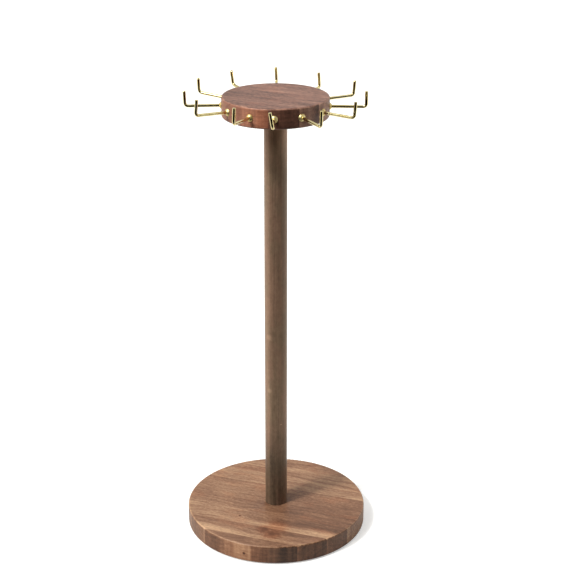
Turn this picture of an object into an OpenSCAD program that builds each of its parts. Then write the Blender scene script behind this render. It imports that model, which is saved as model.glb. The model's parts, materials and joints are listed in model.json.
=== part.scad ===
// Rotating hook stand: a round board base, a dowel post and a round board that
// turns on a ball bearing and carries a ring of L-shaped screw hooks.
// Millimetres, +Z up, origin on the table under the middle of the base.

/* [Stand] */
// Height of the turning disc's top face above the table
stand_h = 445; // [380:1:520]
// Thickness of the laminated board that the base and the disc are cut from
board_t = 19; // [18:0.5:24]
// Radius that eases the edges of both boards
edge_ease = 1.8; // [0.4:0.1:2.5]

/* [Base] */
// Diameter of the base
base_d = 180; // [170:1:240]
// Thickness of the felt pads under the base
pad_t = 1; // [0.8:0.1:3]
// Diameter of each felt pad
pad_d = 14; // [10:1:20]
// How many felt pads there are
pad_n = 4; // [3:1:6]
// Depth of the socket that holds the foot of the post
socket_deep = 12; // [9:0.5:13]

/* [Post] */
// Diameter of the dowel
post_d = 22; // [20:0.5:26]

/* [Turning disc] */
// Diameter of the disc
disc_d = 100; // [96:1:116]

/* [Hooks] */
// How many hooks stand round the rim
hook_n = 12; // [6:1:12]
// Diameter of the brass wire
wire_d = 3; // [2.4:0.1:3.2]
// Distance from the rim of the disc to the middle of the upright
hook_reach = 33.5; // [25:0.5:34]
// Height of the tip above the middle of the arm
hook_rise = 14.6; // [11:0.1:18]
// Bend radius at the middle of the wire
bend_r = 3; // [2.5:0.1:4]
// Diameter of the domed collar at the rim
collar_d = 7.2; // [6.4:0.1:9]
// Height of the collar's dome
collar_h = 2.3; // [1.6:0.1:3]

/* [Hidden] */
// The hooks are screwed in by hand, so each stands a little differently. These
// lists give each hook's angles in degrees, going round from the front.
// Off its even place round the rim, positive anticlockwise from above
place_off = [-1, -1, 0, -2, -1, 0, 0, 0, -1, -1, 0, 3];
// Arm swung sideways, positive anticlockwise from above
swing = [0, 0, -5, -1, -1, 0, 0, 0, 4, -1, 5, 4];
// Arm tipped up (positive) or drooping (negative)
tip_up = [1, -1, 0, 0, 0, -1, 4, 4, 4, -2, 3, 4];
// Turned about its own arm, positive when the upright leans anticlockwise
turn = [-10, 1, 8, -1, -9, 4, 2, 10, 12, 5, 3, 1];

// Clearances: a snug fit between fixed pieces, and a free fit round moving ones
snug = 0.02;
loose = 0.05;

// Heights of the main faces
base_low = pad_t;
base_top = base_low + board_t;
post_low = base_top - socket_deep;
disc_low = stand_h - board_t;
hook_z = disc_low + board_t / 2;

// Bearing, of the common 8 x 22 x 7 mm size
race_bore = 8;
race_d = 22;
race_w = 7;
ball_d = 3.97;
ball_n = 7;
ball_path_r = 7.5;
groove_r = 2;
inner_race_r = 6.05;
outer_race_r = 9;
shield_t = 0.36;
shield_in = 0.25;
shield_lip = 0.4;
shield_gap = 0.2;
cage_half_w = 0.55;
cage_low = -2.55;
cage_high = 0.9;
race_mid = disc_low + race_w / 2;

// Stud, nut and spacers that hold the inner race on the post
stud_r = race_bore / 2 - snug;
stud_root_r = 3.3;
stud_in_post = 30;
stud_pitch = 3;
nut_pitch = 1.25;
spacer_t = 1;
spacer_d = 12;
nut_h = 4;
nut_flats = 13;
stud_over_nut = 0.6;
post_top = disc_low - spacer_t;
nut_room_r = 8.5;
nut_room_h = 6.5;

// Countersunk screw that holds the post from below
screw_r = 2.5;
screw_root_r = 1.7;
screw_head_d = 10;
screw_head_h = 2.6;
screw_sink = 0.3;
screw_in_post = 36;
screw_pitch = 1.8;
screw_point = 4;

// Hook, its shank in the wood and its collar
wire_r = wire_d / 2;
shank_len = 12;
shank_point = 2;
shank_pitch = 1.3;
shank_root = 0.7;
plain_in = 1.5;
hook_hole = plain_in + shank_len + shank_point;
seat_deep = 0.5;
collar_lip = 0.3;
collar_wall = 0.45;
tip_ease = 0.3;

// Small details: how far cuts overshoot, the pads' distance in from the rim, the
// post's eased ends and the cross slot in the base screw
hole_over = 1;
pad_inset = 16;
post_ease = 0.5;
drive_slot = 0.9;
drive_wide = 5.2;
drive_deep = 1.9;
$fn = 64;

hooks = [0 : hook_n - 1];
function numbered(name, i) = str(name, i < 9 ? "_0" : "_", i + 1);

// A round board with its sharp edges taken off
module round_board(d, t) {
    r = d / 2;
    rotate_extrude() {
        square([r - edge_ease, t]);
        translate([0, edge_ease]) square([r, t - 2 * edge_ease]);
        translate([r - edge_ease, edge_ease]) circle(edge_ease);
        translate([r - edge_ease, t - edge_ease]) circle(edge_ease);
    }
}

// A threaded shank standing up from z = 0, as a stack of V-shaped ridges
module ridged_shank(length, pitch, crest_r, root_r, point_h = 0) {
    ridges = floor(length / pitch);
    step = length / ridges;
    rotate_extrude() polygon(concat(
        [[0, -point_h], [root_r, 0]],
        [for (k = [0 : ridges - 1]) each [[crest_r, (k + 0.5) * step], [root_r, (k + 1) * step]]],
        [[0, length]]));
}

// A flat ring standing on z = 0
module ring(outer_r, inner_r, h) {
    difference() {
        cylinder(h = h, r = outer_r);
        translate([0, 0, -hole_over]) cylinder(h = h + 2 * hole_over, r = inner_r);
    }
}

// Moves to hook i's place: origin on the rim, +X out along the arm
module at_hook(i) {
    rotate([0, 0, -90 + i * 360 / hook_n + place_off[i]])
        translate([disc_d / 2, 0, hook_z])
            rotate([-turn[i], -tip_up[i], swing[i]])
                children();
}

module base_board() {
    color([0.66, 0.50, 0.39]) difference() {
        translate([0, 0, base_low]) round_board(base_d, board_t);
        translate([0, 0, post_low]) cylinder(h = socket_deep + hole_over, d = post_d + 2 * loose);
        translate([0, 0, base_low - hole_over]) cylinder(h = board_t, r = screw_r + 2 * loose);
        translate([0, 0, base_low])
            cylinder(h = screw_head_h + screw_sink, d1 = screw_head_d + 2 * screw_sink, d2 = 2 * screw_r);
    }
}

module felt_pads() {
    color([0.28, 0.27, 0.25]) for (k = [0 : pad_n - 1])
        rotate([0, 0, (k + 0.5) * 360 / pad_n])
            translate([base_d / 2 - pad_inset, 0, 0]) cylinder(h = pad_t, d = pad_d);
}

module post() {
    length = post_top - post_low;
    r = post_d / 2;
    color([0.38, 0.27, 0.22]) difference() {
        translate([0, 0, post_low]) union() {
            cylinder(h = post_ease, r1 = r - post_ease, r2 = r);
            translate([0, 0, post_ease]) cylinder(h = length - 2 * post_ease, r = r);
            translate([0, 0, length - post_ease]) cylinder(h = post_ease, r1 = r, r2 = r - post_ease);
        }
        translate([0, 0, post_top - stud_in_post - hole_over])
            cylinder(h = stud_in_post + 2 * hole_over, r = stud_r + snug);
        translate([0, 0, post_low - hole_over])
            cylinder(h = screw_in_post + screw_point + 2 * hole_over, r = screw_r + snug);
    }
}

module base_screw() {
    head_low = base_low + screw_sink;
    neck = head_low + screw_head_h;
    color([0.72, 0.70, 0.66]) difference() {
        union() {
            translate([0, 0, head_low])
                cylinder(h = screw_head_h, d1 = screw_head_d, d2 = 2 * screw_root_r);
            translate([0, 0, neck]) cylinder(h = post_low - neck, r = screw_root_r);
            translate([0, 0, post_low + screw_in_post]) mirror([0, 0, 1])
                ridged_shank(screw_in_post, screw_pitch, screw_r, screw_root_r, screw_point);
        }
        for (a = [0, 90])
            rotate([0, 0, a]) translate([-drive_wide / 2, -drive_slot / 2, head_low - hole_over])
                cube([drive_wide, drive_slot, drive_deep + hole_over]);
    }
}

module pivot_stud() {
    plain_len = race_w + 2 * spacer_t;
    color([0.76, 0.76, 0.74]) {
        translate([0, 0, post_top - stud_in_post])
            ridged_shank(stud_in_post, stud_pitch, stud_r, stud_root_r);
        translate([0, 0, post_top]) cylinder(h = plain_len, r = stud_r);
        translate([0, 0, post_top + plain_len])
            ridged_shank(nut_h + stud_over_nut, nut_pitch, stud_r, stud_root_r);
    }
}

module spacer_washers() {
    color([0.70, 0.70, 0.68]) for (z = [post_top, disc_low + race_w])
        translate([0, 0, z]) ring(spacer_d / 2, race_bore / 2 + loose, spacer_t);
}

module pivot_nut() {
    color([0.74, 0.73, 0.70]) translate([0, 0, disc_low + race_w + spacer_t]) difference() {
        cylinder(h = nut_h, r = nut_flats / 2 / cos(30), $fn = 6);
        translate([0, 0, -hole_over]) cylinder(h = nut_h + 2 * hole_over, r = stud_r + snug);
    }
}

module bearing_inner_race() {
    color([0.80, 0.81, 0.82]) translate([0, 0, disc_low]) rotate_extrude() difference() {
        translate([race_bore / 2, 0]) square([inner_race_r - race_bore / 2, race_w]);
        translate([ball_path_r, race_w / 2]) circle(groove_r);
    }
}

module bearing_balls() {
    color([0.88, 0.89, 0.90]) for (k = [0 : ball_n - 1])
        rotate([0, 0, k * 360 / ball_n]) translate([ball_path_r, 0, race_mid]) sphere(d = ball_d);
}

// A crown that sits under the balls and snaps over their middles
module bearing_cage() {
    pocket_r = ball_d / 2 + loose;
    color([0.80, 0.66, 0.36]) translate([0, 0, race_mid]) difference() {
        translate([0, 0, cage_low])
            ring(ball_path_r + cage_half_w, ball_path_r - cage_half_w, cage_high - cage_low);
        for (k = [0 : ball_n - 1])
            rotate([0, 0, k * 360 / ball_n]) translate([ball_path_r, 0, 0]) sphere(r = pocket_r);
    }
}

module bearing_outer_race() {
    seat_w = shield_t + 2 * snug;
    color([0.80, 0.81, 0.82]) translate([0, 0, disc_low]) rotate_extrude() difference() {
        translate([outer_race_r, 0]) square([race_d / 2 - snug - outer_race_r, race_w]);
        translate([ball_path_r, race_w / 2]) circle(groove_r);
        for (y = [shield_in, race_w - shield_in - seat_w])
            translate([outer_race_r - hole_over, y]) square([hole_over + shield_lip, seat_w]);
    }
}

module bearing_shields() {
    lift = shield_in + snug;
    color([0.62, 0.63, 0.64]) for (z = [lift, race_w - lift - shield_t])
        translate([0, 0, disc_low + z])
            ring(outer_race_r + shield_lip - snug, inner_race_r + shield_gap, shield_t);
}

module top_disc() {
    color([0.58, 0.44, 0.37]) difference() {
        translate([0, 0, disc_low]) round_board(disc_d, board_t);
        translate([0, 0, disc_low - hole_over]) cylinder(h = race_w + hole_over, d = race_d);
        translate([0, 0, disc_low]) cylinder(h = race_w + nut_room_h, r = nut_room_r);
        for (i = hooks) at_hook(i) rotate([0, 90, 0]) {
            translate([0, 0, -hook_hole]) cylinder(h = hook_hole, r = wire_r);
            translate([0, 0, -seat_deep]) cylinder(h = collar_d, d = collar_d + 2 * loose);
        }
    }
}

// One L hook: ridged shank in the wood, arm, bend and upright
module wire_hook() {
    arm_end = hook_reach - bend_r;
    color([0.87, 0.76, 0.48]) union() {
        rotate([0, 90, 0]) {
            translate([0, 0, -shank_len - plain_in])
                ridged_shank(shank_len, shank_pitch, wire_r - snug, wire_r * shank_root, shank_point);
            translate([0, 0, -plain_in]) cylinder(h = arm_end + plain_in, r = wire_r);
        }
        translate([arm_end, 0, bend_r]) rotate([90, 0, 0]) rotate([0, 0, -90])
            rotate_extrude(angle = 90) translate([bend_r, 0]) circle(wire_r);
        translate([hook_reach, 0, bend_r]) cylinder(h = hook_rise - bend_r - tip_ease, r = wire_r);
        translate([hook_reach, 0, hook_rise - tip_ease])
            cylinder(h = tip_ease, r1 = wire_r, r2 = wire_r - tip_ease);
    }
}

// Half section of a dome on a short lip, its foot on y = 0
module dome_section(r, h, lip) {
    dome_r = (r * r + h * h) / (2 * h);
    square([r, lip]);
    intersection() {
        translate([0, lip + h - dome_r]) circle(dome_r);
        translate([0, lip]) square([r, h]);
    }
}

// A stamped domed collar that the wire passes through
module wire_collar() {
    color([0.84, 0.72, 0.44]) translate([-seat_deep, 0, 0]) rotate([0, 90, 0]) rotate_extrude() difference() {
        dome_section(collar_d / 2, collar_h, collar_lip);
        translate([0, -snug]) dome_section(collar_d / 2 - collar_wall, collar_h - collar_wall, collar_lip);
        square([wire_r + snug, collar_h + 2 * collar_lip]);
    }
}

base_board();
felt_pads();
post();
base_screw();
pivot_stud();
spacer_washers();
pivot_nut();
bearing_inner_race();
bearing_balls();
bearing_cage();
bearing_outer_race();
bearing_shields();
top_disc();
for (i = hooks) {
    at_hook(i) wire_hook();
    at_hook(i) wire_collar();
}
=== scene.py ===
"""A rotating wooden hook stand on a pale floor: a laminated base, a dark dowel post and a turning disc
with a ring of brass L hooks. Lengths are in metres unless a name ends in _MM."""

import json
import math

import bmesh
import bpy
from mathutils import Matrix, Vector

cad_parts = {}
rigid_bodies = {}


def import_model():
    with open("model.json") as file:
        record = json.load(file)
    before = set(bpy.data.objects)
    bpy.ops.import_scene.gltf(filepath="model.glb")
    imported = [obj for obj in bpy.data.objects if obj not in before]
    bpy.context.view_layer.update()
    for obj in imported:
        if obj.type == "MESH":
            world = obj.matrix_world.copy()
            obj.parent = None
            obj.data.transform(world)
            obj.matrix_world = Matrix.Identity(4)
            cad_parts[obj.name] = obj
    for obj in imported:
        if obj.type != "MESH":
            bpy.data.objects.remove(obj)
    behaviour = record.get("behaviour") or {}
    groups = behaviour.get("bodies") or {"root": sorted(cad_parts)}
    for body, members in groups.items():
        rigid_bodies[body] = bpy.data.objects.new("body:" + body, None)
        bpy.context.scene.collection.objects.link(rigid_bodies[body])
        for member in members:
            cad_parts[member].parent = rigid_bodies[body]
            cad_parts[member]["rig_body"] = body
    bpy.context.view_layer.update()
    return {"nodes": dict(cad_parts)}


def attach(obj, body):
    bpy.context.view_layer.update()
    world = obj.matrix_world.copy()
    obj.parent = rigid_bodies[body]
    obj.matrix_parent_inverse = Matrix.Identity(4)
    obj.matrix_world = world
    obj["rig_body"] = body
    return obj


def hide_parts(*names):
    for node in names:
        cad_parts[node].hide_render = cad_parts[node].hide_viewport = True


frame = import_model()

MM = 0.001

# ---------------------------------------------------------------- node helpers


class Nodes:
    """A short way to write a node tree. Inputs may be numbers, colours or other nodes' outputs."""

    def __init__(self, block):
        block.use_nodes = True
        self.block = block
        self.tree = block.node_tree
        self.tree.nodes.clear()

    def node(self, kind, inputs=None, **settings):
        made = self.tree.nodes.new(kind)
        for key, value in settings.items():
            setattr(made, key, value)
        for key, value in (inputs or {}).items():
            self.feed(made.inputs[key], value)
        return made

    def feed(self, socket, value):
        if isinstance(value, bpy.types.NodeSocket):
            self.tree.links.new(value, socket)
        else:
            socket.default_value = value

    def math(self, operation, *values, clamp=False):
        inputs = dict(enumerate(values))
        return self.node("ShaderNodeMath", inputs, operation=operation, use_clamp=clamp).outputs[0]

    def blend(self, amount, low, high):
        """low where amount is 0, high where it is 1, as numbers."""
        inputs = {"Factor": amount, "A": low, "B": high}
        return self.node("ShaderNodeMix", inputs, data_type="FLOAT").outputs["Result"]

    def tint(self, amount, low, high, mode="MIX"):
        """The same for colours."""
        made = self.node("ShaderNodeMix", {"Factor": amount}, data_type="RGBA", blend_type=mode)
        self.feed(made.inputs[6], low)
        self.feed(made.inputs[7], high)
        return made.outputs[2]

    def step(self, value, low, high):
        """0 below low, 1 above high, smooth between."""
        inputs = {"Value": value, "From Min": low, "From Max": high}
        made = self.node("ShaderNodeMapRange", inputs, interpolation_type="SMOOTHSTEP")
        return made.outputs["Result"]

    def noise(self, vector, detail, roughness=0.5, distortion=0.0):
        inputs = {"Vector": vector, "Scale": 1.0, "Detail": detail}
        inputs.update({"Roughness": roughness, "Distortion": distortion})
        return self.node("ShaderNodeTexNoise", inputs).outputs["Fac"]

    def stretch(self, vector, scale, shift=None):
        """The vector with each axis scaled, then shifted."""
        moved = self.node("ShaderNodeVectorMath", {0: vector, 1: scale}, operation="MULTIPLY").outputs[0]
        if shift is None:
            return moved
        return self.node("ShaderNodeVectorMath", {0: moved, 1: shift}, operation="ADD").outputs[0]

    def sway(self, value, noise, amount):
        """The value moved up and down by a noise that centres on 0.5."""
        return self.math("MULTIPLY_ADD", self.math("SUBTRACT", noise, 0.5), amount, value)

    def distance(self, vector, point):
        return self.node("ShaderNodeVectorMath", {0: vector, 1: point}, operation="DISTANCE").outputs["Value"]

    def brightened(self, colour, amount):
        inputs = {0: colour, "Scale": amount}
        return self.node("ShaderNodeVectorMath", inputs, operation="SCALE").outputs[0]

    def noises(self, layers, vector, shift=None):
        """The noise of each layer, by name, from its scale per millimetre and its settings."""
        made = {}
        for name, (scale, settings, _) in layers.items():
            made[name] = self.noise(self.stretch(vector, scale, shift), **settings)
        return made

    def parts(self, vector):
        made = self.node("ShaderNodeSeparateXYZ", {0: vector})
        return made.outputs[0], made.outputs[1], made.outputs[2]

    def vector(self, x, y, z):
        return self.node("ShaderNodeCombineXYZ", {0: x, 1: y, 2: z}).outputs[0]

    def vector_attribute(self, name):
        return self.node("ShaderNodeAttribute", attribute_name=name).outputs["Vector"]

    def ends(self, name, right):
        """A pair's left value where right is 0, its right value where it is 1."""
        low, high, _ = self.parts(self.vector_attribute(name))
        return self.blend(right, low, high)


class Material(Nodes):
    def __init__(self, name):
        super().__init__(bpy.data.materials.new(name))
        self.shader = self.node("ShaderNodeBsdfPrincipled")
        self.node("ShaderNodeOutputMaterial", {"Surface": self.shader.outputs[0]})

    def place(self, turn=0.0):
        """Object coordinates in millimetres, turned about Z."""
        coords = self.node("ShaderNodeTexCoord").outputs["Object"]
        inputs = {"Vector": coords, "Rotation": (0, 0, turn), "Scale": (1 / MM,) * 3}
        return self.node("ShaderNodeMapping", inputs).outputs[0]

    def relief(self, height, depth_mm, strength=1.0):
        """A bump of that depth."""
        inputs = {"Height": height, "Distance": depth_mm * MM, "Strength": strength}
        self.feed(self.shader.inputs["Normal"], self.node("ShaderNodeBump", inputs).outputs[0])

    def set(self, **inputs):
        for key, value in inputs.items():
            self.feed(self.shader.inputs[key.replace("_", " ")], value)


# ---------------------------------------------------------------- wood

# A tone is a lightness from 0 to 1, and its light is that to this power. A pair of limits for a step
# is where it is 0 and where it is 1, so it falls instead of rising when the first is the higher.
TONE_POWER = 2.2

# Layers of the boards' grain: noise scale per millimetre along the grain, across it and up, the
# noise's settings, and how far the layer moves the tone
WOOD_LAYERS = {
    "bands": ((0.006, 0.10, 0.10), {"detail": 2, "distortion": 0.6}, 0.13),
    "streaks": ((0.03, 0.30, 0.30), {"detail": 4, "roughness": 0.7}, 0.38),
    "flecks": ((0.28, 0.55, 0.55), {"detail": 3, "roughness": 0.7}, 0.36),
    "fibres": ((0.09, 2.0, 2.0), {"detail": 3, "roughness": 0.6}, 0.15),
    "blotch": ((0.03, 0.06, 0.06), {"detail": 3}, 0.13),
}
# The same scale for the grain's wandering, the end grain's pores and the rim's upright figure
FLOW_SCALE = (0.011, 0.02, 0.02)
PORE_SCALE = (0.4, 1.3, 1.3)
FIGURE_SCALE = (0.22, 0.22, 0.015)

# How far the grain wanders off straight, and how much of that the strips' edges follow
WANDER_MM = 22.0
STRIP_FOLLOWS = 0.7

# How each stave's seed moves its noise
SEED_ALONG = 37.0
SEED_ACROSS = 11.0

# Where along the grain a pair's left value gives way to its right one, on the flat faces and the rim
FLAT_ENDS_MM = (-60.0, 60.0)
RIM_ENDS_MM = (3.0, 7.0)

# The pale strip along a stave's front edge, on the flat faces and the rim
STRIP_MM = (13.0, 3.0)
RIM_STRIP_MM = (3.4, 0.8)
RIM_STRIP_TONE = 0.08

# Which faces count as flat, and where the painted highlight along the eased upper edge starts and ends, by
# the normal's upward part
FLAT_NORMAL = (0.3, 0.8)
EDGE_HIGHLIGHT_STARTS = (0.25, 0.6)
EDGE_HIGHLIGHT_ENDS = (0.99, 0.85)
EDGE_HIGHLIGHT_TONE = 0.09

# The grain's contrast on the rim, and how far the upright figure moves the tone there
RIM_CONTRAST = 0.55
FIGURE_TONE = 0.32

# Growth rings: where in a ring its dark late wood comes and goes
LATE_STARTS = (0.35, 0.9)
LATE_ENDS = (1.0, 0.93)
LATE_TONE = -0.05

# End grain, by how squarely a face cuts the grain
END_FACING = (0.55, 0.95)
PORE_TONE = 0.5

# A knot's core and halo, and the painted reflection of the post, fade from their radius in to this share of
# it.
# The halo and the painted reflection keep this much of the tone.
KNOT_FADE = 0.3
HALO_AND_REFLECTION_TONE = 0.93

# How warm halos, the painted reflection of the post and blotchy stains are, and the tint where the wood is
# fully warm
HALO_AND_REFLECTION_WARMTH = 0.55
STAIN_BLOTCH = (0.5, 0.7)
STAIN_WARMTH = 0.3
WARM_TINT = (1.0, 0.66, 0.5, 1.0)

# The tones over which the dark wood's hue gives way to the pale wood's
PALE_TONES = (0.42, 0.70)
DARKEST_TONE = 0.02

# Gloss and relief of the boards
WOOD_IOR = 1.5
BOARD_GLOSS = 0.3
BOARD_ROUGH = 0.36
BOARD_ROUGH_FIBRES = 0.2
BOARD_RELIEF_MM = 0.12
BOARD_RELIEF = 0.6
RELIEF_FIBRES = 0.6
RELIEF_STREAKS = 0.4


def wood(name, turn, hues, contrast, knots_and_reflection=()):
    """Laminated wood whose grain runs along X after turning by turn. Each face carries its stave's
    tones, every pair for the left and the right end of the stave. hues are the dark and the pale wood's,
    and contrast that of the grain. The eased upper edge carries a paler painted highlight all round."""
    m = Material(name)
    grain = m.place(-turn)
    along, across, up = m.parts(grain)
    seed, start, width = m.parts(m.vector_attribute("stave"))
    heart, depth, ring_step = m.parts(m.vector_attribute("rings"))
    shift = m.vector(m.math("MULTIPLY", seed, SEED_ALONG), m.math("MULTIPLY", seed, SEED_ACROSS), seed)

    # the grain wanders, and its layers follow it
    flow = m.noise(m.stretch(grain, FLOW_SCALE, shift), detail=2)
    drift = m.math("MULTIPLY", m.math("SUBTRACT", flow, 0.5), WANDER_MM)
    grain = m.vector(along, m.math("ADD", across, drift), up)
    layers = m.noises(WOOD_LAYERS, grain, shift)
    fibres = layers["fibres"]

    heart_across = m.math("ADD", heart, m.math("ADD", across, drift))
    heart_up = m.math("ADD", depth, up)
    squares = m.math("ADD", m.math("POWER", heart_across, 2.0), m.math("POWER", heart_up, 2.0))
    ring = m.math("FRACT", m.math("DIVIDE", m.math("SQRT", squares), ring_step))
    late = m.math("MULTIPLY", m.step(ring, *LATE_STARTS), m.step(ring, *LATE_ENDS))

    # tone of the stave at this place: a pale strip along its front edge, then near to far
    right = m.step(along, *FLAT_ENDS_MM)
    span = m.math("SUBTRACT", across, start)
    strip = m.step(m.math("MULTIPLY_ADD", drift, STRIP_FOLLOWS, span), *STRIP_MM)
    back = m.math("DIVIDE", span, width, clamp=True)
    body = m.blend(back, m.ends("near", right), m.ends("far", right))
    flat_tone = m.blend(strip, body, m.ends("strip", right))
    rim_right = m.step(along, *RIM_ENDS_MM)
    rim_tone = m.ends("rim", rim_right)
    rim_tone = m.math("MULTIPLY_ADD", m.step(span, *RIM_STRIP_MM), RIM_STRIP_TONE, rim_tone)
    figure = m.noise(m.stretch(m.place(), FIGURE_SCALE), detail=3, roughness=0.6)
    rim_tone = m.sway(rim_tone, figure, FIGURE_TONE)
    normal = m.parts(m.node("ShaderNodeTexCoord").outputs["Normal"])
    flat = m.step(m.math("ABSOLUTE", normal[2]), *FLAT_NORMAL)
    tone = m.blend(flat, rim_tone, flat_tone)
    # painted highlight: the eased upper edge is made paler all round
    edge = m.math("MULTIPLY", m.step(normal[2], *EDGE_HIGHLIGHT_STARTS), m.step(normal[2], *EDGE_HIGHLIGHT_ENDS))
    tone = m.math("MULTIPLY_ADD", edge, EDGE_HIGHLIGHT_TONE, tone)
    contrast = m.blend(flat, RIM_CONTRAST, contrast)
    for layer, (_, _, amount) in WOOD_LAYERS.items():
        change = m.math("MULTIPLY", m.math("SUBTRACT", layers[layer], 0.5), amount)
        tone = m.math("MULTIPLY_ADD", change, contrast, tone)
    tone = m.math("MULTIPLY_ADD", m.math("MULTIPLY", late, LATE_TONE), contrast, tone)

    # end grain, where the grain runs into the face, shows its pores
    axis_x, axis_y = math.cos(turn), math.sin(turn)
    facing = m.math("ADD", m.math("MULTIPLY", normal[0], axis_x), m.math("MULTIPLY", normal[1], axis_y))
    end = m.step(m.math("ABSOLUTE", facing), *END_FACING)
    pores = m.noise(m.stretch(grain, PORE_SCALE, shift), detail=4, roughness=0.7)
    pore_tone = m.sway(tone, pores, PORE_TONE)
    tone = m.blend(m.math("MULTIPLY", end, m.math("SUBTRACT", 1.0, flat)), tone, pore_tone)

    # knots: a dark core in a reddish halo; in front of the post, a wide darker and warmer patch that is a
    # painted reflection of the post
    halo_and_reflection = 0.0
    for x, y, z, core, reach, left in knots_and_reflection:
        away = m.distance(m.place(), (x, y, z))
        ragged = m.sway(away, layers["flecks"], reach)
        tone = m.math("MULTIPLY", tone, m.blend(m.step(away, core, core * KNOT_FADE), 1.0, left))
        halo_and_reflection = m.math("MAXIMUM", halo_and_reflection, m.step(ragged, reach, reach * KNOT_FADE))
    tone = m.math("MULTIPLY", tone, m.blend(halo_and_reflection, 1.0, HALO_AND_REFLECTION_TONE))

    # yellower where pale, redder where the rim, a stain, a knot and the painted reflection of the post ask
    # for it
    light = m.math("POWER", m.math("MAXIMUM", tone, DARKEST_TONE), TONE_POWER)
    colour = m.brightened(m.tint(m.step(tone, *PALE_TONES), *hues), light)
    rim_warmth = m.blend(flat, m.ends("warmth", rim_right), 0.0)
    stain = m.math("MULTIPLY", m.step(layers["blotch"], *STAIN_BLOTCH), STAIN_WARMTH)
    stain = m.math("MAXIMUM", stain, m.math("MULTIPLY", halo_and_reflection, HALO_AND_REFLECTION_WARMTH))
    warmth = m.math("MAXIMUM", rim_warmth, stain)
    warm = m.tint(1.0, colour, WARM_TINT, "MULTIPLY")
    m.set(Base_Color=m.tint(warmth, colour, warm), IOR=WOOD_IOR, Specular_IOR_Level=BOARD_GLOSS)
    m.set(Roughness=m.math("MULTIPLY_ADD", fibres, BOARD_ROUGH_FIBRES, BOARD_ROUGH))
    streaks = m.math("MULTIPLY", layers["streaks"], RELIEF_STREAKS)
    m.relief(m.math("ADD", m.math("MULTIPLY", fibres, RELIEF_FIBRES), streaks), BOARD_RELIEF_MM, BOARD_RELIEF)
    return m.block


# One row a stave: where it starts across the grain, then the tones of its front strip, of the
# body behind it near and far, of its rim, and the rim's warmth, each at its left and right end
BASE_STAVES = [
    (-91.0, (0.55, 0.51), (0.55, 0.51), (0.55, 0.51), (0.54, 0.39), (0.3, 0.3)),
    (-87.0, (0.54, 0.50), (0.53, 0.50), (0.52, 0.54), (0.42, 0.30), (0.2, 0.1)),
    (-75.8, (0.71, 0.60), (0.61, 0.54), (0.53, 0.49), (0.48, 0.33), (0.0, 0.1)),
    (-54.0, (0.61, 0.69), (0.57, 0.43), (0.62, 0.44), (0.46, 0.40), (0.0, 0.1)),
    (-28.5, (0.56, 0.46), (0.55, 0.45), (0.56, 0.49), (0.54, 0.52), (0.0, 0.0)),
    (27.0, (0.61, 0.62), (0.53, 0.52), (0.57, 0.54), (0.55, 0.48), (0.0, 0.0)),
    (42.0, (0.61, 0.65), (0.53, 0.58), (0.57, 0.57), (0.55, 0.50), (0.0, 0.0)),
    (62.0, (0.62, 0.63), (0.53, 0.53), (0.53, 0.55), (0.55, 0.50), (0.0, 0.0)),
]
DISC_STAVES = [
    (-51.0, (0.57, 0.50), (0.57, 0.50), (0.57, 0.50), (0.61, 0.61), (0.6, 0.8)),
    (-47.5, (0.57, 0.52), (0.54, 0.52), (0.53, 0.51), (0.57, 0.41), (0.6, 0.3)),
    (-31.5, (0.53, 0.53), (0.50, 0.51), (0.51, 0.52), (0.53, 0.61), (0.6, 0.0)),
    (-19.5, (0.51, 0.53), (0.50, 0.51), (0.51, 0.51), (0.51, 0.44), (0.6, 0.0)),
    (-11.0, (0.51, 0.53), (0.51, 0.52), (0.53, 0.51), (0.48, 0.63), (0.5, 0.1)),
    (12.0, (0.53, 0.54), (0.52, 0.53), (0.52, 0.52), (0.48, 0.48), (0.5, 0.3)),
    (31.0, (0.54, 0.52), (0.53, 0.52), (0.52, 0.51), (0.48, 0.42), (0.5, 0.3)),
]
TONES = ("strip", "near", "far", "rim", "warmth")
BASE_GRAIN = math.radians(-19)
DISC_GRAIN = math.radians(-25)
BASE_HUES = (1.0, 0.475, 0.255, 1), (1.0, 0.60, 0.34, 1)
DISC_HUES = (1.0, 0.485, 0.33, 1), (1.0, 0.53, 0.36, 1)
SEED_STEP = 0.83
SEED_START = 0.6

# Each stave's growth rings: how far its heart lies to the side of its middle, how deep it lies and how
# wide its rings are. Each is a middle value, a spread, and the pace and start of its change from
# stave to stave.
HEART_SIDE_MM = (0.0, 22.0, 2.3, 0.7)
HEART_DEPTH_MM = (30.0, 25.0, 1.7, 2.0)
RING_STEP_MM = (4.2, 1.1, 3.1, 0.0)

# The groove at each seam, and the tolerances it is made with
SEAM_HALF_MM = 0.25
SEAM_DEPTH_MM = 0.07
WELD_MM = 0.002
ON_SEAM_MM = 0.01
CUT_TOLERANCE = 1e-6
SHARP_ANGLE = math.radians(32)


def varied(index, middle, spread, pace, start):
    return middle + spread * math.sin(pace * index + start)


def stave_values(staves, index):
    """What that stave's faces carry, by attribute."""
    start, *pairs = staves[index]
    end = staves[index + 1][0] if index + 1 < len(staves) else -staves[0][0]
    values = {name: (left, right, 0) for name, (left, right) in zip(TONES, pairs)}
    values["stave"] = (index * SEED_STEP + SEED_START, start, end - start)
    heart = varied(index, *HEART_SIDE_MM) - (start + end) / 2
    values["rings"] = (heart, varied(index, *HEART_DEPTH_MM), varied(index, *RING_STEP_MM))
    return values


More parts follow.
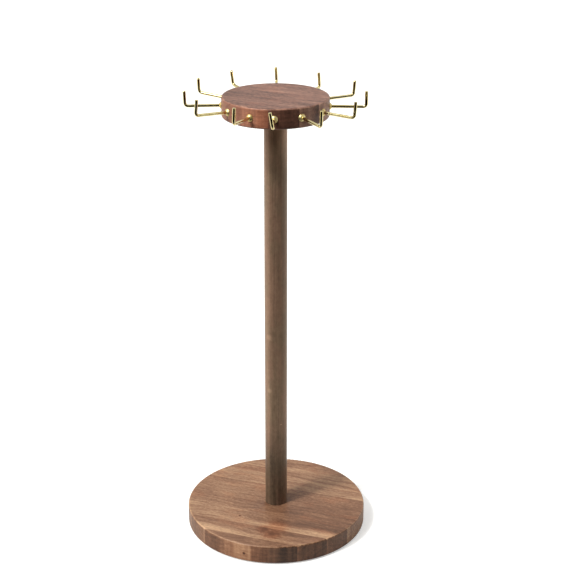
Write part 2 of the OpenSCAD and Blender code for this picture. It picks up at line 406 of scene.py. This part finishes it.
def laminated(node, name, staves, turn, material):
    """The CAD board cut along its staves, with a fine groove at each seam and the staves' values on
    its faces."""
    source = frame["nodes"][node].data
    mesh = bpy.data.meshes.new(name)
    shape = bmesh.new()
    shape.from_mesh(source)
    bmesh.ops.remove_doubles(shape, verts=shape.verts, dist=WELD_MM * MM)
    across = Vector((-math.sin(turn), math.cos(turn), 0))
    seams = [start * MM for start, *_ in staves[1:]]
    for seam in seams:
        for offset in (-SEAM_HALF_MM, 0, SEAM_HALF_MM):
            geometry = shape.verts[:] + shape.edges[:] + shape.faces[:]
            point = across * (seam + offset * MM)
            bmesh.ops.bisect_plane(
                shape, geom=geometry, plane_co=point, plane_no=across, dist=CUT_TOLERANCE
            )
    shape.normal_update()
    moves = []
    for vert in shape.verts:
        if any(abs(vert.co.dot(across) - seam) < ON_SEAM_MM * MM for seam in seams):
            moves.append((vert, vert.normal * (-SEAM_DEPTH_MM * MM)))
    for vert, move in moves:
        vert.co += move
    fields = [stave_values(staves, index) for index in range(len(staves))]
    layers = {key: shape.faces.layers.float_vector.new(key) for key in fields[0]}
    for face in shape.faces:
        place = face.calc_center_median().dot(across)
        index = sum(place > seam for seam in seams)
        for key, layer in layers.items():
            face[layer] = fields[index][key]
    shape.to_mesh(mesh)
    shape.free()
    mesh.shade_smooth()
    mesh.set_sharp_from_angle(angle=SHARP_ANGLE)
    piece = bpy.data.objects.new(name, mesh)
    bpy.context.scene.collection.objects.link(piece)
    mesh.materials.append(material)
    piece.modifiers.new("even_shading", "WEIGHTED_NORMAL").keep_sharp = True
    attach(piece, frame["nodes"][node]["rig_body"])
    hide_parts(node)


POST_HUES = (1.0, 0.66, 0.41, 1), (1.0, 0.60, 0.385, 1)
# The post's layers, as WOOD_LAYERS, but with the scale along X, Y and up
POST_LAYERS = {
    "bands": ((0.16, 0.16, 0.004), {"detail": 2, "distortion": 0.5}, 0.10),
    "streaks": ((0.7, 0.7, 0.012), {"detail": 3}, 0.14),
    "fibres": ((3.2, 3.2, 0.05), {"detail": 3, "roughness": 0.6}, 0.14),
    "patches": ((0.06, 0.06, 0.02), {"detail": 4, "roughness": 0.6}, 0.20),
    "mottle": ((0.35, 0.35, 0.22), {"detail": 4, "roughness": 0.7}, 0.16),
}
# The post's tone and its foot's painted shade, then how much paler the painted sheen down its sides and the
# painted light at its top make it, each after the heights or the places across it that it comes in over
POST_TONE = 0.495
FOOT_SHADE_MM = (130.0, 50.0)
FOOT_SHADE_TONE = 0.35
LEFT_SHEEN_MM = (-5.0, -7.5)
LEFT_SHEEN_TONE = 0.06
RIGHT_SHEEN_MM = (0.0, 7.0)
RIGHT_SHEEN_TONE = 0.075
SIDE_WANDER_MM = 3.0
POST_TOP_LIGHT_MM = (370.0, 410.0)
POST_TOP_LIGHT_TONE = 0.17
# The patches over which one of the hues gives way to the other, then the post's gloss and relief
POST_PATCHES = (0.40, 0.60)
POST_GLOSS = 0.15
POST_ROUGH = 0.28
POST_ROUGH_FIBRES = 0.15
POST_RELIEF_MM = 0.10
POST_RELIEF = 0.5
# Pale handling marks on the post: where each is, its radius in millimetres and how much paler it is
POST_MARKS = (
    (-6.8, -8.6, 206.0, 4.5, 0.10),
    (-6.5, -8.9, 149.0, 4.0, 0.09),
    (5.0, -9.8, 112.0, 1.0, 0.30),
)
# They fade in to this share of their radius, and are ragged by this many times it
MARK_FADE = 0.3
MARK_RAGGED = 2.0


def post_wood():
    """Dark stained dowel with fine vertical grain, a painted sheen down its sides, painted light at the top
    under the disc and painted shade at its foot.
    """
    m = Material("post_wood")
    grain = m.place()
    layers = m.noises(POST_LAYERS, grain)
    side, _, height = m.parts(grain)
    side = m.sway(side, layers["bands"], SIDE_WANDER_MM)
    # painted shade: the post is darker towards its foot
    tone = m.blend(m.step(height, *FOOT_SHADE_MM), POST_TONE, FOOT_SHADE_TONE)
    # painted sheen: both sides of the post are made paler
    tone = m.math("MULTIPLY_ADD", m.step(side, *LEFT_SHEEN_MM), LEFT_SHEEN_TONE, tone)
    tone = m.math("MULTIPLY_ADD", m.step(side, *RIGHT_SHEEN_MM), RIGHT_SHEEN_TONE, tone)
    # painted light: the post is paler at its top, just under the disc
    tone = m.math("MULTIPLY_ADD", m.step(height, *POST_TOP_LIGHT_MM), POST_TOP_LIGHT_TONE, tone)
    for layer, (_, _, amount) in POST_LAYERS.items():
        tone = m.sway(tone, layers[layer], amount)
    for x, y, z, reach, lift in POST_MARKS:
        ragged = m.sway(m.distance(grain, (x, y, z)), layers["mottle"], reach * MARK_RAGGED)
        tone = m.math("MULTIPLY_ADD", m.step(ragged, reach, reach * MARK_FADE), lift, tone)
    hue = m.tint(m.step(layers["patches"], *POST_PATCHES), *POST_HUES)
    colour = m.brightened(hue, m.math("POWER", tone, TONE_POWER))
    m.set(Base_Color=colour, IOR=WOOD_IOR, Specular_IOR_Level=POST_GLOSS)
    m.set(Roughness=m.math("MULTIPLY_ADD", layers["fibres"], POST_ROUGH_FIBRES, POST_ROUGH))
    m.relief(m.math("ADD", layers["fibres"], layers["streaks"]), POST_RELIEF_MM, POST_RELIEF)
    return m.block


# ---------------------------------------------------------------- metals and felt

# Metal: the scale and the limits of its tint's drift, how much its roughness varies, and its marks
CLOUD_SCALE = (0.12, 0.12, 0.12)
CLOUD_STEP = (0.35, 0.65)
POLISH_SPREAD = 0.10
MARK_SCALE = (0.5, 0.5, 0.5)
MARK_DEPTH_MM = 0.01
MARK_RELIEF = 0.5

FELT_SCALE = (2.5, 2.5, 2.5)
FELT_COLOURS = (0.02, 0.02, 0.018, 1), (0.07, 0.065, 0.06, 1)
FELT_ROUGH = 0.95
FELT_SHEEN = 0.3
FELT_SHEEN_ROUGH = 0.5
FELT_DEPTH_MM = 0.3


def metal(name, low, high, rough, scale=MARK_SCALE, depth_mm=MARK_DEPTH_MM):
    """Polished or plated metal whose tint and polish drift slightly, with fine handling marks."""
    m = Material(name)
    place = m.place()
    cloud = m.noise(m.stretch(place, CLOUD_SCALE), detail=3)
    marks = m.noise(m.stretch(place, scale), detail=4, roughness=0.65)
    m.set(Base_Color=m.tint(m.step(cloud, *CLOUD_STEP), low, high), Metallic=1.0)
    m.set(Roughness=m.math("MULTIPLY_ADD", marks, POLISH_SPREAD, rough - POLISH_SPREAD / 2))
    m.relief(marks, depth_mm, MARK_RELIEF)
    return m.block


def felt():
    m = Material("felt")
    fuzz = m.noise(m.stretch(m.place(), FELT_SCALE), detail=5, roughness=0.7, distortion=0.8)
    m.set(Base_Color=m.tint(fuzz, *FELT_COLOURS), Roughness=FELT_ROUGH)
    m.set(Sheen_Weight=FELT_SHEEN, Sheen_Roughness=FELT_SHEEN_ROUGH)
    m.relief(fuzz, FELT_DEPTH_MM)
    return m.block


# ---------------------------------------------------------------- pieces

# Knots in the base, and the post's painted reflection: where each is, the radii of its core and halo in
# millimetres, and how much of the tone its core keeps. The second to fourth rows lie just in front of the
# post: their wide, darker and warmer halos are a painted reflection of the dark post, the second and third
# with faint knot cores.
BASE_KNOTS_AND_REFLECTION = (
    (-36.4, -31.0, 20.0, 1.4, 2.5, 0.5),
    (-11.0, -57.0, 20.0, 5.0, 12.0, 0.84),
    (-4.0, -66.0, 20.0, 5.0, 14.0, 0.8),
    (1.0, -53.0, 20.0, 0.5, 17.0, 1.0),
    (-30.8, -84.5, 9.5, 1.8, 3.0, 0.45),
)

# How strong the grain is on each board's flat faces
BASE_CONTRAST = 0.92
DISC_CONTRAST = 1.4

laminated(
    "base_board", "laminated_base", BASE_STAVES, BASE_GRAIN,
    wood("base_wood", BASE_GRAIN, BASE_HUES, contrast=BASE_CONTRAST, knots_and_reflection=BASE_KNOTS_AND_REFLECTION),
)
laminated(
    "top_disc", "laminated_disc", DISC_STAVES, DISC_GRAIN,
    wood("disc_wood", DISC_GRAIN, DISC_HUES, contrast=DISC_CONTRAST),
)

# Noise scales of the brass's marks, and how deep they are on the hooks
FINE_MARKS = (1.2, 1.2, 1.2)
SATIN_MARKS = (1.6, 1.6, 1.6)
HOOK_MARK_MM = 0.003

# Finishes of the nodes that are shown as they are, by the node's name or the start of it. Each metal
# has its two tints and its roughness.
FINISHES = {
    "post": post_wood(),
    "felt_pads": felt(),
    "hook": metal("hook_brass", (0.78, 0.64, 0.29, 1), (0.90, 0.79, 0.44, 1), 0.14, FINE_MARKS, HOOK_MARK_MM),
    "collar": metal("collar_brass", (0.72, 0.56, 0.22, 1), (0.84, 0.70, 0.34, 1), 0.48, SATIN_MARKS),
    "bearing_cage": metal("cage_brass", (0.58, 0.42, 0.18, 1), (0.72, 0.55, 0.27, 1), 0.35),
    "bearing_shields": metal("shield_steel", (0.38, 0.39, 0.40, 1), (0.5, 0.5, 0.51, 1), 0.38),
    "bearing": metal("bearing_steel", (0.62, 0.63, 0.65, 1), (0.74, 0.75, 0.76, 1), 0.14),
    "zinc": metal("zinc_steel", (0.50, 0.49, 0.45, 1), (0.66, 0.65, 0.61, 1), 0.32),
}


def finish_for(node):
    """The finish of that node: its own, that of its kind, or plain zinc."""
    for key in (node, node.rsplit("_", 1)[0], node.split("_")[0]):
        if key in FINISHES:
            return FINISHES[key]
    return FINISHES["zinc"]


for node, piece in frame["nodes"].items():
    if not piece.hide_render:
        piece.data.materials.clear()
        piece.data.materials.append(finish_for(node))

# ---------------------------------------------------------------- floor, light and camera

# The floor's half width, where its front edge lies, and its finish
FLOOR_HALF = 12.0
FLOOR_FRONT = -0.22
FLOOR_COLOUR = (0.75, 0.75, 0.72, 1)
FLOOR_ROUGH = 0.9
FLOOR_GLOSS = 0.1
FLOOR_GLOW = 0.42
WHITE = (1, 1, 1, 1)


def floor():
    """A white sweep that ends a little in front of the stand. It glows to the camera only."""
    mesh = bpy.data.meshes.new("floor")
    sides = ((-1, FLOOR_FRONT), (1, FLOOR_FRONT), (1, FLOOR_HALF), (-1, FLOOR_HALF))
    corners = [(x * FLOOR_HALF, y, 0) for x, y in sides]
    mesh.from_pydata(corners, [], [(0, 1, 2, 3)])
    piece = bpy.data.objects.new("floor", mesh)
    bpy.context.scene.collection.objects.link(piece)
    m = Material("floor_white")
    seen = m.node("ShaderNodeLightPath").outputs["Is Camera Ray"]
    m.set(Base_Color=FLOOR_COLOUR, Roughness=FLOOR_ROUGH, Specular_IOR_Level=FLOOR_GLOSS)
    m.set(Emission_Color=WHITE, Emission_Strength=m.math("MULTIPLY", seen, FLOOR_GLOW))
    mesh.materials.append(m.block)


# Each key's energy, its width in degrees and the way its rays travel
KEYS = (
    (1.5, 6, (0.49, 0.35, -0.80)),
    (1.95, 34, (0.58, 0.42, -0.70)),
)


def key_light(energy, width, towards):
    light = bpy.data.lights.new("key", "SUN")
    light.energy = energy
    light.angle = math.radians(width)
    lamp = bpy.data.objects.new("key", light)
    lamp.rotation_euler = Vector(towards).to_track_quat("-Z", "Y").to_euler()
    bpy.context.scene.collection.objects.link(lamp)


# The studio's light: at the horizon, overhead, from below, from the right and in the dark wedge
LOW_LIGHT = 0.64
OVERHEAD_LIGHT = 0.8
BELOW_LIGHT = 0.72
RIGHT_LIGHT = 1.04
DARK_LIGHT = 0.0
# Where they give way to each other, by the upward and the rightward part of the direction
OVERHEAD_UP = (0.0, 0.9)
BELOW_UP = (0.0, -0.1)
RIGHT_X = (0.2, 0.7)
RIGHT_UP = (0.75, 0.45)
# The dark wedge: full and faded degrees either side of straight behind the camera, and up
DARK_BEARING = (66, 71)
DARK_ELEVATION = (55, 66)


def surroundings():
    """A studio that is brightest overhead and at the right, with a dark wedge behind the camera. The
    camera itself sees plain white."""
    world = bpy.data.worlds.new("studio")
    bpy.context.scene.world = world
    n = Nodes(world)
    x, y, z = n.parts(n.node("ShaderNodeTexCoord").outputs["Generated"])
    overhead = n.blend(n.step(z, *OVERHEAD_UP), LOW_LIGHT, OVERHEAD_LIGHT)
    level = n.blend(n.step(z, *BELOW_UP), overhead, BELOW_LIGHT)
    beside = n.math("MULTIPLY", n.step(x, *RIGHT_X), n.step(z, *RIGHT_UP))
    level = n.blend(beside, level, RIGHT_LIGHT)
    flat = n.math("SQRT", n.math("ADD", n.math("MULTIPLY", x, x), n.math("MULTIPLY", y, y)))
    bearing = n.math("ARCTAN2", n.math("ABSOLUTE", x), n.math("MULTIPLY", y, -1.0))
    narrow, wide = (math.radians(edge) for edge in DARK_BEARING)
    low, high = (math.radians(edge) for edge in DARK_ELEVATION)
    height = n.math("ARCTAN2", z, flat)
    dark = n.math("MULTIPLY", n.step(bearing, wide, narrow), n.step(height, high, low))
    level = n.blend(dark, level, DARK_LIGHT)
    rays = n.node("ShaderNodeLightPath").outputs["Is Camera Ray"]
    back = n.node("ShaderNodeBackground", {"Color": WHITE, "Strength": n.blend(rays, level, 1.0)})
    n.node("ShaderNodeOutputWorld", {"Surface": back.outputs[0]})


floor()
surroundings()
for key in KEYS:
    key_light(*key)

# The camera stands a little right of the middle and looks down at the stand, as far as its reach
CAMERA_AT = (0.01393, -1.27708, 0.76221)
CAMERA_DOWN = math.radians(21.847)
CAMERA_RIGHT = math.radians(0.098)
CAMERA_ROLL = math.radians(0.169)
LENS_MM = 87.38
SENSOR_MM = 36.0
CAMERA_REACH = 60


def camera():
    data = bpy.data.cameras.new("camera")
    data.lens = LENS_MM
    data.sensor_width = SENSOR_MM
    data.clip_end = CAMERA_REACH
    eye = bpy.data.objects.new("camera", data)
    turn = Matrix.Rotation(-CAMERA_RIGHT, 4, "Z")
    tilt = Matrix.Rotation(math.pi / 2 - CAMERA_DOWN, 4, "X")
    roll = Matrix.Rotation(CAMERA_ROLL, 4, "Z")
    eye.matrix_world = Matrix.Translation(CAMERA_AT) @ turn @ tilt @ roll
    bpy.context.scene.collection.objects.link(eye)
    bpy.context.scene.camera = eye


camera()
bpy.context.scene.view_settings.view_transform = "Standard"
